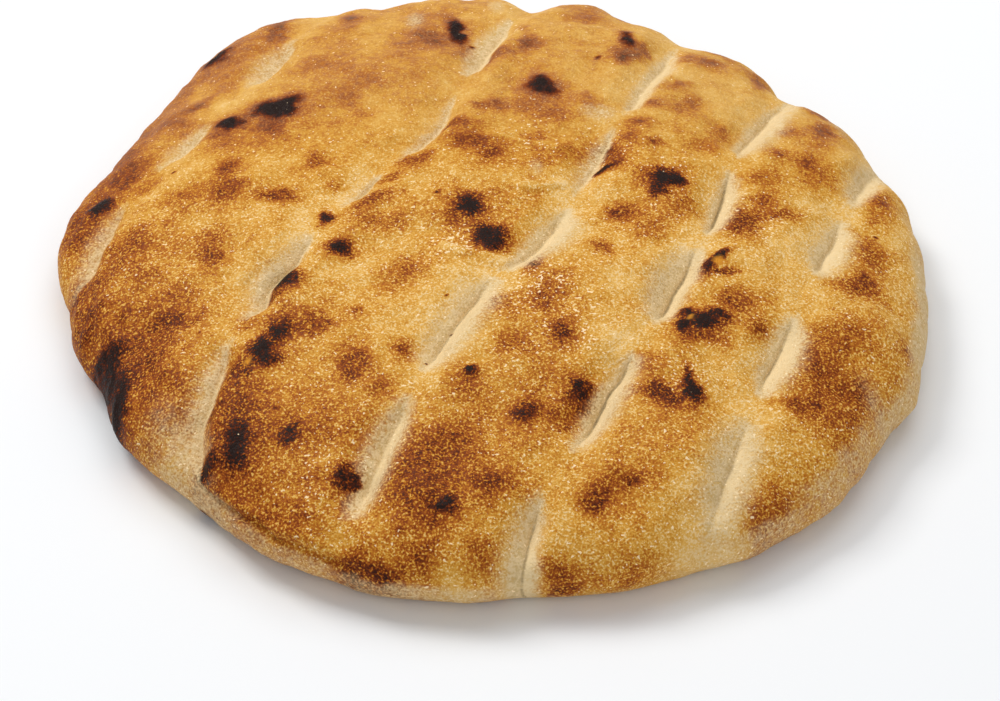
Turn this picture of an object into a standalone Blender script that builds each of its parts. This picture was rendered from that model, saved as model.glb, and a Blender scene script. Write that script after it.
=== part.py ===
# A thick pita loaf with rows of slashes, baked flat: one solid piece of bread
import math

import bmesh
import bpy
import numpy as np
from mathutils import Matrix, Vector

# Driving sizes of the loaf, metres
BASE_RADIUS = 0.1185
HEIGHT = 0.037
RIM_LEVEL = 0.009       # height at which the side is widest
UNDERCUT = 0.011        # how far the lower edge rounds in to the flat underside
CROWN_FALL = 2.4        # exponents of the crown's section: how late it falls, how full its shoulder is
CROWN_SHOULDER = 2.2

# Lobes (+) and dips (-) of the outline: direction in degrees, half width in degrees, height
OUTLINE_LOBES = (
    (10, 12, 0.0025),
    (29, 6, 0.0020),
    (42, 4, -0.0025),
    (53, 6, 0.0010),
    (65, 4, 0.0035),
    (76, 6, 0.0065),
    (84, 2, -0.0015),
    (88, 4, 0.0050),
    (101, 12, 0.0075),
    (118, 9, 0.0095),
    (131, 9, 0.0080),
    (154, 8, -0.0015),
    (171, 9, 0.0035),
    (202, 5, -0.0010),
    (211, 26, -0.0060),
    (214, 8, 0.0010),
    (234, 7, -0.0010),
    (257, 6, 0.0015),
    (275, 8, -0.0010),
    (288, 6, 0.0010),
    (312, 16, 0.0055),
    (338, 5, 0.0035),
    (347, 10, 0.0025),
)

# The slash rows run side by side. Along is measured in this direction, across to the right of it
ALONG_DEGREES = 66.4

# Each row: its path as (along, across) points, and its slashes as (start, end, depth) along it
SLASH_ROWS = (
    {
        "path": ((-0.055, -0.100), (-0.025, -0.101), (0.005, -0.095), (0.040, -0.088), (0.070, -0.088)),
        "slashes": ((-0.062, -0.022, 0.0026), (-0.008, 0.018, 0.0024), (0.034, 0.072, 0.0028)),
        "lip": 0.0004,
    },
    {
        "path": (
            (-0.113, -0.026), (-0.104, -0.038), (-0.080, -0.043), (-0.063, -0.048), (-0.050, -0.043),
            (-0.025, -0.041), (0.000, -0.037), (0.030, -0.030), (0.058, -0.032), (0.100, -0.035),
        ),
        "slashes": (
            (-0.113, -0.072, 0.0036), (-0.060, -0.022, 0.0034), (-0.010, 0.008, 0.0022),
            (0.012, 0.050, 0.0030), (0.058, 0.096, 0.0030),
        ),
        "lip": 0.0014,
    },
    {
        "path": (
            (-0.108, 0.011), (-0.075, 0.007), (-0.045, 0.008), (-0.022, 0.011), (-0.008, 0.015),
            (0.030, 0.017), (0.075, 0.015), (0.115, 0.013),
        ),
        "slashes": (
            (-0.112, -0.074, 0.0030), (-0.062, -0.021, 0.0034), (-0.017, 0.014, 0.0032),
            (0.018, 0.052, 0.0024), (0.058, 0.113, 0.0028),
        ),
        "lip": 0.0006,
    },
    {
        "path": ((-0.105, 0.054), (-0.086, 0.052), (-0.060, 0.054), (0.035, 0.054), (0.060, 0.050), (0.110, 0.051)),
        "slashes": (
            (-0.122, -0.082, 0.0028), (-0.068, -0.031, 0.0028), (-0.020, 0.013, 0.0034),
            (0.018, 0.051, 0.0026), (0.056, 0.106, 0.0030),
        ),
        "lip": 0.0006,
    },
    {
        "path": ((-0.075, 0.093), (-0.045, 0.091), (0.000, 0.088), (0.045, 0.086), (0.090, 0.084)),
        "slashes": (
            (-0.076, -0.040, 0.0026), (-0.028, 0.003, 0.0026), (0.020, 0.050, 0.0026), (0.055, 0.094, 0.0030),
        ),
        "lip": 0.0004,
    },
)
VALLEY_DEPTH = 0.0014   # the soft trough that each row lies in
VALLEY_WIDTH = 0.0095
SLASH_FLOOR = 0.0085    # a slash's sloping floor, left of its crease
FLOOR_CURVE = 1.2       # how hollow that slope is
SLASH_WALL = 0.0038     # its steeper wall, right of the crease
SLASH_TAPER = 0.0060    # how fast it runs out at either end
SLASH_REACH = (0.87, 0.99)  # slashes get shallower over this stretch of the crown, toward the rim
LIP_OFFSET = 0.0065     # the raised lip past the wall
LIP_WIDTH = 0.0055

# Thin wrinkles of the crust: x and y of both ends, height
WRINKLES = (
    (-0.011, 0.033, 0.002, 0.035, 0.0012),
    (0.002, 0.035, 0.021, 0.030, 0.0008),
    (0.009, 0.011, 0.021, 0.014, 0.0008),
    (-0.012, -0.013, 0.004, -0.018, 0.0010),
)
WRINKLE_WIDTH = 0.0032

# Slow swells of the crust: wavelength along, wavelength across, phase in turns, height
SWELLS = ((0.071, 0.093, 0.10, 0.0007), (0.043, 0.052, 0.45, 0.0005), (0.120, 0.061, 0.70, 0.0006))

# The fold near the floor at the front left: start and end direction in degrees, depth
SEAM = (203, 254, 0.0012)
SEAM_HALF_WIDTH = 0.0022
SEAM_TAPER = 12

# Grid of the crust, with columns along the rows of slashes, and rings of the side below it
COLUMNS = 72
ROWS = 46
SIDE_RINGS = 3
COLUMN_CROWDING = 0.55  # how much closer the columns stand at a row's crease
CREASE_ROOM = 0.45      # the share of the room to the grid's border that a crease may take up
CREASE_SAMPLES = 120
# Reach runs from 0 at the crown's middle to 1 at the widest level, and on round the side by this much
SIDE_REACH = 0.12
CORNER_REACH = 0.05     # the grid's corners reach a little down the side, which keeps their faces open
CORNER_SHARPNESS = 8
NORMAL_STEP = 0.0005    # the step in reach over which the section's slope is taken
RELIEF_END = (1.02, 1.09)  # the relief fades out over this stretch of the side

NODE = "pita_bread"
CRUST_COLOR = (0.56, 0.31, 0.11, 1.0)
CRUST_ROUGHNESS = 0.62


def clear_scene():
    for old in list(bpy.data.objects):
        bpy.data.objects.remove(old, do_unlink=True)


def ramp(value, start, end):
    t = np.clip((value - start) / (end - start), 0.0, 1.0)
    return t * t * (3.0 - 2.0 * t)


def bell(value, width):
    return np.exp(-(value / width) ** 2)


def outline_radius(degrees):
    """Radius of the widest level in each direction."""
    radius = np.full(np.shape(degrees), BASE_RADIUS)
    for direction, half_width, height in OUTLINE_LOBES:
        off = (degrees - direction + 180.0) % 360.0 - 180.0
        radius = radius + height * bell(off, half_width)
    return radius


def crown_table(samples=600):
    """Reaches from 0 to 1, the share of the radius that each has got to, and the crown's length out to the rim."""
    share = np.sin(np.linspace(0.0, math.pi / 2, samples))
    height = crown_height(share)
    steps = np.hypot(np.diff(share) * BASE_RADIUS, np.diff(height))
    reach = np.concatenate([[0.0], np.cumsum(steps)])
    return reach / reach[-1], share, reach[-1]


def crown_height(share):
    fall = np.clip(1.0 - share ** CROWN_FALL, 0.0, 1.0)
    return RIM_LEVEL + (HEIGHT - RIM_LEVEL) * fall ** (1.0 / CROWN_SHOULDER)


REACH, SHARE, CROWN_LENGTH = crown_table()


def row_across(row, along):
    """Where a row's crease lies, as a smooth curve through its path."""
    at, across = np.array(row["path"]).T
    slope = np.gradient(across, at)
    along = np.clip(along, at[0], at[-1])
    k = np.clip(np.searchsorted(at, along) - 1, 0, len(at) - 2)
    span = at[k + 1] - at[k]
    t = (along - at[k]) / span
    start = across[k] * (1 + 2 * t) + slope[k] * span * t
    end = across[k + 1] * (3 - 2 * t) - slope[k + 1] * span * (1 - t)
    return start * (1 - t) ** 2 + end * t ** 2


def row_relief(row, across, along, reach):
    off = across - row_across(row, along)
    height = -VALLEY_DEPTH * bell(off, VALLEY_WIDTH) + row["lip"] * bell(off - LIP_OFFSET, LIP_WIDTH)
    floor = np.clip(1.0 + off / SLASH_FLOOR, 0.0, 1.0) ** FLOOR_CURVE
    wall = 1.0 - ramp(off, 0.0, SLASH_WALL)
    section = np.where(off < 0.0, floor, wall) * (1.0 - ramp(reach, *SLASH_REACH))
    for start, end, depth in row["slashes"]:
        opening = ramp(along, start, start + SLASH_TAPER) * ramp(-along, -end, SLASH_TAPER - end)
        height = height - depth * section * opening
    return height


def wrinkle_relief(x, y):
    height = np.zeros_like(x)
    for x0, y0, x1, y1, rise in WRINKLES:
        length = math.hypot(x1 - x0, y1 - y0)
        t = np.clip(((x - x0) * (x1 - x0) + (y - y0) * (y1 - y0)) / length ** 2, 0.0, 1.0)
        away = np.hypot(x - x0 - t * (x1 - x0), y - y0 - t * (y1 - y0))
        height = np.maximum(height, rise * bell(away, WRINKLE_WIDTH))
    return height


def swell_relief(across, along):
    height = np.zeros_like(across)
    for wave_along, wave_across, phase, rise in SWELLS:
        turns = along / wave_along + phase
        height = height + rise * np.sin(2 * math.pi * turns) * np.cos(2 * math.pi * (across / wave_across + phase))
    return height


def seam_relief(degrees, below_rim):
    start, end, depth = SEAM
    stretch = ramp(degrees, start, start + SEAM_TAPER) * (1.0 - ramp(degrees, end - SEAM_TAPER, end))
    return -depth * stretch * bell(below_rim, SEAM_HALF_WIDTH)


def loaf_points(disc):
    """Places points of the flat disc on the loaf: their distance from its middle is their reach."""
    reach = np.hypot(disc[:, 0], disc[:, 1])
    direction = np.arctan2(disc[:, 1], disc[:, 0]) + math.radians(ALONG_DEGREES - 90.0)
    degrees = np.degrees(direction) % 360.0
    radius = outline_radius(degrees)
    share = np.interp(np.minimum(reach, 1.0), REACH, SHARE)
    turn = np.clip((reach - 1.0) / SIDE_REACH, 0.0, 1.0) * math.pi / 2
    out = np.where(reach <= 1.0, radius * share, radius - UNDERCUT * (1.0 - np.cos(turn)))
    up = np.where(reach <= 1.0, crown_height(share), RIM_LEVEL * (1.0 - np.sin(turn)))

    # The section's outward normal, from its slope
    inner = np.interp(np.clip(reach - NORMAL_STEP, 0.0, 1.0), REACH, SHARE)
    outer = np.interp(np.clip(reach + NORMAL_STEP, 0.0, 1.0), REACH, SHARE)
    run = np.where(reach < 1.0, radius * (outer - inner), -UNDERCUT * np.sin(turn))
    drop = np.where(reach < 1.0, crown_height(inner) - crown_height(outer), RIM_LEVEL * np.cos(turn))
    size = np.maximum(np.hypot(run, drop), 1e-9)
    normal_out, normal_up = drop / size, run / size

    x, y = out * np.cos(direction), out * np.sin(direction)
    heading = math.radians(ALONG_DEGREES)
    along = x * math.cos(heading) + y * math.sin(heading)
    across = x * math.sin(heading) - y * math.cos(heading)
    relief = swell_relief(across, along) + wrinkle_relief(x, y)
    for row in SLASH_ROWS:
        relief = relief + row_relief(row, across, along, reach)
    relief = relief + seam_relief(degrees, (reach - 1.0) * CROWN_LENGTH)
    relief = relief * (1.0 - ramp(reach, *RELIEF_END))
    out = out + relief * normal_out
    up = up + relief * normal_up
    return np.stack([out * np.cos(direction), out * np.sin(direction), up], axis=1)


def square_to_disc(u, v):
    return u * np.sqrt(1.0 - v * v / 2), v * np.sqrt(1.0 - u * u / 2)


def disc_to_square(p, q):
    base, twist = 2 + p * p - q * q, 2 * math.sqrt(2) * p
    u = (np.sqrt(np.clip(base + twist, 0, None)) - np.sqrt(np.clip(base - twist, 0, None))) / 2
    base, twist = 2 - p * p + q * q, 2 * math.sqrt(2) * q
    v = (np.sqrt(np.clip(base + twist, 0, None)) - np.sqrt(np.clip(base - twist, 0, None))) / 2
    return u, v


def crease_columns(v):
    """For each height v in the square grid, the u at which each row's crease passes."""
    found = []
    along = np.linspace(-BASE_RADIUS, BASE_RADIUS, CREASE_SAMPLES)
    for row in SLASH_ROWS:
        across = row_across(row, along)
        direction = np.arctan2(along, across)
        radius = outline_radius(np.degrees(direction) + ALONG_DEGREES - 90.0)
        share = np.hypot(along, across) / radius
        reach = np.interp(share, SHARE, REACH)
        crease_u, crease_v = disc_to_square(reach * np.cos(direction), reach * np.sin(direction))
        inside = share < 1.0
        crease = np.interp(v, crease_v[inside], crease_u[inside])
        room = CREASE_ROOM * (1.0 - abs(crease.mean()))
        found.append(np.clip(crease, crease.mean() - room, crease.mean() + room))
    return np.array(found)


def follow_creases(u, v):
    """Moves the grid's columns so that one of them runs along each row's crease, with others close to it."""
    creases = crease_columns(v)
    even = np.round(creases.mean(axis=1) * COLUMNS / 2) * 2 / COLUMNS
    knots = np.concatenate([[-1.0], even, [1.0]])
    places = np.vstack([-np.ones_like(v), creases, np.ones_like(v)])
    k = np.clip(np.searchsorted(knots, u + 1e-9) - 1, 0, len(knots) - 2)
    t = (u - knots[k]) / (knots[k + 1] - knots[k])
    t = t - COLUMN_CROWDING * np.sin(2 * math.pi * t) / (2 * math.pi)
    each = np.arange(len(u))
    return places[k, each] * (1 - t) + places[k + 1, each] * t


def loaf_mesh():
    bm = bmesh.new()
    bmesh.ops.create_grid(bm, x_segments=COLUMNS, y_segments=ROWS, size=1.0)
    square = np.array([v.co[:2] for v in bm.verts])
    u = follow_creases(square[:, 0], square[:, 1])
    p, q = square_to_disc(u, square[:, 1])
    stretch = 1.0 + CORNER_REACH * (u * square[:, 1]) ** CORNER_SHARPNESS
    for vert, x, y in zip(bm.verts, p * stretch, q * stretch):
        vert.co = (x, y, 0.0)

    # The side goes down in rings from the crust's border and closes with one flat face
    border = [edge for edge in bm.edges if edge.is_boundary]
    for ring in range(SIDE_RINGS):
        made = bmesh.ops.extrude_edge_only(bm, edges=border)["geom"]
        border = [item for item in made if isinstance(item, bmesh.types.BMEdge) and item.is_boundary]
        for vert in (item for item in made if isinstance(item, bmesh.types.BMVert)):
            reach = vert.co.length
            vert.co *= 1.0 + (1.0 + SIDE_REACH - reach) / (SIDE_RINGS - ring) / reach
    bmesh.ops.contextual_create(bm, geom=border)

    placed = loaf_points(np.array([v.co[:2] for v in bm.verts]))
    middle = (placed[:, :2].min(axis=0) + placed[:, :2].max(axis=0)) / 2
    placed[:, :2] -= middle
    for vert, place in zip(bm.verts, placed):
        vert.co = Vector(place)
    bmesh.ops.triangulate(bm, faces=[face for face in bm.faces if len(face.verts) == 4], quad_method="BEAUTY")
    bmesh.ops.recalc_face_normals(bm, faces=bm.faces)
    mesh = bpy.data.meshes.new(NODE)
    bm.to_mesh(mesh)
    bm.free()
    mesh.transform(Matrix.Translation((0.0, 0.0, -min(v.co.z for v in mesh.vertices))))
    mesh.shade_smooth()
    return mesh


def crust_material():
    material = bpy.data.materials.new("crust")
    material.use_nodes = True
    shader = material.node_tree.nodes["Principled BSDF"]
    shader.inputs["Base Color"].default_value = CRUST_COLOR
    shader.inputs["Roughness"].default_value = CRUST_ROUGHNESS
    shader.inputs["Metallic"].default_value = 0.0
    return material


def main():
    clear_scene()
    collection = bpy.data.collections.new("pita bread")
    bpy.context.scene.collection.children.link(collection)
    mesh = loaf_mesh()
    mesh.materials.append(crust_material())
    collection.objects.link(bpy.data.objects.new(NODE, mesh))


main()
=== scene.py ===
# Looks of the slashed pita loaf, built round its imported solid
import math

import bmesh
import bpy
import numpy as np
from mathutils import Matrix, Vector


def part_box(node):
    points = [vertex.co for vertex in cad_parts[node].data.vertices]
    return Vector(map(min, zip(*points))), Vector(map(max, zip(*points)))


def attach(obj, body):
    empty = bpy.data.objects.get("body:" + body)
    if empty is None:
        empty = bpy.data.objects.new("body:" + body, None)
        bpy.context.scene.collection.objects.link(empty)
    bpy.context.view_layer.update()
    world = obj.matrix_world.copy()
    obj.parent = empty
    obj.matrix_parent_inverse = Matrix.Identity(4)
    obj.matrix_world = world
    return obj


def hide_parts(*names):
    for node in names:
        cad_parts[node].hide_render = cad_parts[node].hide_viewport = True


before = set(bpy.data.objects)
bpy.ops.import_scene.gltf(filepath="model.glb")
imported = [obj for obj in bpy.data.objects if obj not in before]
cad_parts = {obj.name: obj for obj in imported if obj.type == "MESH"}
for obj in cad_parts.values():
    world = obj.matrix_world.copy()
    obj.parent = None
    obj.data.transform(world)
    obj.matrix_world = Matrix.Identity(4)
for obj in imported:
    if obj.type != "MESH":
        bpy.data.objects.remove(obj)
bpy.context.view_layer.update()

mm = 0.001
breadNode = "pita_bread"

# Seeds of the random patterns. A pattern of several sizes takes the next ones too
seeds = {
    "drift": 10,
    "doughEdge": 31,
    "uneven": 40,
    "seamLine": 61,
    "seamLumps": 62,
    "wrinkles": 63,
    "slashes": 70,
    "warpX": 200,
    "warpY": 250,
}


def ramp(value, start, end):
    t = np.clip((value - start) / (end - start), 0.0, 1.0)
    return t * t * (3.0 - 2.0 * t)


def bell(value, width):
    return np.exp(-(value / width) ** 2)


def turnsApart(degrees, direction):
    # degrees from a direction, from -180 to 180
    return (degrees - direction + 180.0) % 360.0 - 180.0


def patchNoise(x, y, size, seed):
    # smooth random values from -1 to 1, one per patch of the given size
    count = 96
    table = np.random.default_rng(seed).uniform(-1.0, 1.0, (count, count))
    gx = x / size + count / 2
    gy = y / size + count / 2
    ix, iy = np.floor(gx).astype(int), np.floor(gy).astype(int)
    fx, fy = ramp(gx - ix, 0.0, 1.0), ramp(gy - iy, 0.0, 1.0)
    ix0, iy0, ix1, iy1 = ix % count, iy % count, (ix + 1) % count, (iy + 1) % count
    low = table[ix0, iy0] * (1 - fx) + table[ix1, iy0] * fx
    high = table[ix0, iy1] * (1 - fx) + table[ix1, iy1] * fx
    return low * (1 - fy) + high * fy


# The loaf's form in millimetres, as on the solid. Lobes: direction in degrees, half width, height
loaf = {
    "baseRadius": 118.5,
    "height": 37,
    "rimLevel": 9,          # where the side is widest
    "undercut": 11,         # how far the lower edge rounds in
    "crownFall": 2.4,       # how late the crown falls, and how full its shoulder is
    "crownShoulder": 2.2,
    "lobes": (
        (10, 12, 2.5), (29, 6, 2.0), (42, 4, -2.5), (53, 6, 1.0), (65, 4, 3.5), (76, 6, 6.5),
        (84, 2, -1.5), (88, 4, 5.0), (101, 12, 7.5), (118, 9, 9.5), (131, 9, 8.0), (154, 8, -1.5),
        (171, 9, 3.5), (202, 5, -1.0), (211, 26, -6.0), (214, 8, 1.0), (234, 7, -1.0), (257, 6, 1.5),
        (275, 8, -1.0), (288, 6, 1.0), (312, 16, 5.5), (338, 5, 3.5), (347, 10, 2.5),
    ),
    "alongDegrees": 66.4,   # the way the slash rows run
    "markMiddle": (0.0, -2.0),  # where slashes and marks are placed from, seen from the outline's middle
    "valleyDepth": 1.4,     # the shallow valley that each row of slashes lies in
    "valleyWidth": 9.5,
    "slashFloor": 8.5,      # width of a slash's sloping floor and steep wall
    "floorCurve": 1.2,
    "slashWall": 5.0,
    "slashTaper": 10.0,
    "slashWander": ((11, 0.5), (4.5, 0.35)),    # how unevenly the slashes run: size and reach
    "slashReach": (0.87, 0.99),  # slashes get shallower toward the rim
    "lipOffset": 6.5,       # the lip beside each row
    "lipWidth": 5.5,
    "creaseDepth": 0.8,     # the fine cut at a slash's foot
    "creaseWidth": 0.65,
    "wrinkles": (           # x and y of both ends, height
        (-11, 33, 2, 35, 1.3), (2, 35, 21, 30, 1.0), (9, 11, 21, 14, 0.9), (-12, -13, 4, -18, 1.1),
    ),
    "wrinkleWidth": 1.7,
    # half width of the highlight painted on their tops
    "wrinkleHighlightWidth": 0.8,
    "wrinkleWander": (4.0, 1.3),    # size and reach of their bends
    # Slow swells: length along and across, phase, height
    "swells": ((71, 93, 0.10, 0.7), (43, 52, 0.45, 0.5), (120, 61, 0.70, 0.6)),
    "unevenness": ((16, 0.55), (7, 0.50), (3.2, 0.30), (1.6, 0.12)),  # size and height of the crust's bumps
    "unevenLean": 0.6,      # keeps the bumps from being drawn out down the side
    "blister": 0.45,        # how far the scorched spots stand up
    "reliefEnd": (1.02, 1.09),  # the relief fades out below the rim
}

# Rows of slashes: path as (along, across), then each slash's
# (start, end, depth, width of the pale floor, of the pale wall, how pale, how deep its crease is and how dark
# the shade painted at its foot)
rows = (
    {
        "path": ((-55, -100), (-25, -101), (5, -95), (40, -90), (70, -89.5)),
        "slashes": (
            (-56, -21, 2.6, 5, 1.5, 0.55, 0.2), (-6, 17, 2.2, 4.5, 1.5, 0.65, 0.1),
            (34, 63, 2.6, 6.5, 1.0, 0.65, 0.1),
        ),
        "lip": 0.4,
    },
    {
        "path": (
            (-113, -26), (-104, -37), (-85, -43), (-72, -44.5), (-62, -44.5), (-53, -43.5), (-45, -45),
            (-34, -42), (-22, -41), (0, -37), (30, -30), (58, -32), (100, -35),
        ),
        "slashes": (
            (-110, -66, 3.4, 5.0, 1.8, 0.70, 0.5), (-60, -24, 3.2, 5.0, 1.5, 0.85, 0.7),
            (-12, 8, 2.2, 2.5, 1.0, 0.60, 0.6), (14, 48, 2.8, 3.0, 1.2, 0.65, 0.3),
            (58, 96, 3.0, 5.0, 1.5, 0.95, 0.1),
        ),
        "lip": 1.4,
    },
    {
        "path": ((-108, 8.5), (-75, 8), (-45, 8), (-22, 11), (-8, 15), (30, 17), (75, 15), (115, 13)),
        "slashes": (
            (-108, -69, 3.0, 4.5, 4.5, 0.85, 0.3), (-62, -21, 3.4, 4.5, 7.0, 0.95, 0.7),
            (-18, 14, 3.2, 2.8, 7.0, 1.00, 0.6), (18, 52, 2.4, 3.5, 1.5, 0.70, 0.3),
            (58, 108, 2.8, 3.0, 4.0, 0.85, 0.1),
        ),
        "lip": 0.6,
    },
    {
        "path": ((-105, 54), (-86, 52), (-60, 54), (35, 54), (60, 50), (110, 51)),
        "slashes": (
            (-120, -82, 2.8, 5.0, 3.5, 0.85, 0.8), (-68, -31, 2.8, 3.0, 5.0, 0.90, 0.9),
            (-20, 13, 2.8, 6.5, 4.0, 0.95, 0.9), (18, 51, 2.6, 2.5, 4.0, 0.95, 1.0),
            (56, 102, 3.0, 3.0, 7.0, 0.90, 0.5),
        ),
        "lip": 0.6,
    },
    {
        "path": ((-75, 93), (-45, 91), (0, 88), (45, 86), (90, 84)),
        "slashes": (
            (-73, -37, 1.6, 7.5, 6.5, 0.75, 0.5), (-28, 3, 2.6, 3.5, 6.0, 0.95, 0.8),
            (20, 50, 2.6, 4.0, 5.5, 0.90, 0.6), (57, 90, 3.0, 5.0, 3.5, 0.85, 0.1),
        ),
        "lip": 0.4,
    },
)

# The fold at the front left of the edge, in degrees and millimetres
seam = {
    "start": 224,
    "end": 256,
    "taper": 8,             # degrees over which it opens and closes
    "depth": 1.7,
    "above": 5.0,           # how far above the widest line it runs
    "halfWidth": 1.0,
    "wander": (9, 1.3),     # size and reach of its bends
    "rollShare": 0.45,      # the rolled edge above it, as a share of its depth
    "rollPlace": (2.4, 1.6),    # how far up, half width
    "lumpHeight": 0.7,
    "lumpSize": 4.2,
    "lumpBase": 0.4,        # how much the lumps stand out on the whole
    "lumpPlace": (2.8, 2.4),    # how far down, half width
    "footShade": (0.55, 0.8),    # its dark line, painted shade in the groove: strength, half width
    "pale": 0.32,           # the dough below it, and where that starts
    "paleFrom": (0.6, 2.0),
}


def outlineRadius(degrees):
    radius = np.full(np.shape(degrees), float(loaf["baseRadius"]))
    for direction, halfWidth, height in loaf["lobes"]:
        radius = radius + height * bell(turnsApart(degrees, direction), halfWidth)
    return radius


def crownHeight(share):
    fall = np.clip(1.0 - share ** loaf["crownFall"], 0.0, 1.0)
    return loaf["rimLevel"] + (loaf["height"] - loaf["rimLevel"]) * fall ** (1.0 / loaf["crownShoulder"])


def crownTable(samples=600):
    # share of the radius against share of the way over the crown, and that way's length
    share = np.sin(np.linspace(0.0, math.pi / 2, samples))
    steps = np.hypot(np.diff(share) * loaf["baseRadius"], np.diff(crownHeight(share)))
    reach = np.concatenate([[0.0], np.cumsum(steps)])
    return reach / reach[-1], share, reach[-1]


reachTable, shareTable, crownLength = crownTable()


def alongAndAcross(x, y):
    heading = math.radians(loaf["alongDegrees"])
    return x * math.cos(heading) + y * math.sin(heading), x * math.sin(heading) - y * math.cos(heading)


def rowAcross(row, along):
    # a smooth curve through the row's path
    at, across = np.array(row["path"], float).T
    slope = np.gradient(across, at)
    along = np.clip(along, at[0], at[-1])
    k = np.clip(np.searchsorted(at, along) - 1, 0, len(at) - 2)
    span = at[k + 1] - at[k]
    t = (along - at[k]) / span
    start = across[k] * (1 + 2 * t) + slope[k] * span * t
    end = across[k + 1] * (3 - 2 * t) - slope[k + 1] * span * (1 - t)
    return start * (1 - t) ** 2 + end * t ** 2


def awayFromRow(row, x, y, across, along):
    off = across - rowAcross(row, along)
    for k, (size, reach) in enumerate(loaf["slashWander"]):
        off = off + reach * patchNoise(x, y, size, seeds["slashes"] + k)
    return off


def slashOpening(along, start, end):
    return ramp(along, start, start + loaf["slashTaper"]) * ramp(-along, -end, loaf["slashTaper"] - end)


def rowRelief(row, off, along, reach):
    height = -loaf["valleyDepth"] * bell(off, loaf["valleyWidth"])
    height = height + row["lip"] * bell(off - loaf["lipOffset"], loaf["lipWidth"])
    floor = np.clip(1.0 + off / loaf["slashFloor"], 0.0, 1.0) ** loaf["floorCurve"]
    wall = 1.0 - ramp(off, 0.0, loaf["slashWall"])
    section = np.where(off < 0.0, floor, wall)
    shallower = 1.0 - ramp(reach, *loaf["slashReach"])
    for start, end, depth, floorPale, wallPale, strength, footDepthAndShade in row["slashes"]:
        crease = loaf["creaseDepth"] * footDepthAndShade * bell(off, loaf["creaseWidth"])
        height = height - (depth * section + crease) * slashOpening(along, start, end) * shallower
    return height


def wrinkleRelief(x, y):
    # the wrinkles' height, and where highlight is painted on their tops
    height, highlightTops = np.zeros_like(x), np.zeros_like(x)
    size, reach = loaf["wrinkleWander"]
    wander = reach * patchNoise(x, y, size, seeds["wrinkles"])
    for x0, y0, x1, y1, rise in loaf["wrinkles"]:
        length = math.hypot(x1 - x0, y1 - y0)
        t = np.clip(((x - x0) * (x1 - x0) + (y - y0) * (y1 - y0)) / length ** 2, 0.0, 1.0)
        away = np.hypot(x - x0 - t * (x1 - x0), y - y0 - t * (y1 - y0)) + wander
        height = np.maximum(height, rise * bell(away, loaf["wrinkleWidth"]))
        highlightTops = np.maximum(highlightTops, bell(away, loaf["wrinkleHighlightWidth"]))
    return height, highlightTops


def swellRelief(across, along):
    height = np.zeros_like(across)
    for waveAlong, waveAcross, phase, rise in loaf["swells"]:
        ripple = np.cos(2 * math.pi * (across / waveAcross + phase))
        height = height + rise * np.sin(2 * math.pi * (along / waveAlong + phase)) * ripple
    return height


def seamPlace(x, y, degrees, belowRim):
    # distance below the fold's wandering line, and how open the fold is there
    start, end, taper = seam["start"], seam["end"], seam["taper"]
    opening = ramp(degrees, start, start + taper) * (1.0 - ramp(degrees, end - taper, end))
    size, reach = seam["wander"]
    return belowRim + seam["above"] + reach * patchNoise(x, y, size, seeds["seamLine"]), opening


def seamRelief(x, y, below, opening):
    rollUp, rollWidth = seam["rollPlace"]
    lumpDown, lumpWidth = seam["lumpPlace"]
    groove = -seam["depth"] * bell(below, seam["halfWidth"])
    rolledEdge = seam["rollShare"] * seam["depth"] * bell(below + rollUp, rollWidth)
    unevenness = seam["lumpBase"] + patchNoise(x, y, seam["lumpSize"], seeds["seamLumps"])
    lumps = seam["lumpHeight"] * unevenness * bell(below - lumpDown, lumpWidth)
    return opening * (groove + rolledEdge + lumps)


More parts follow.
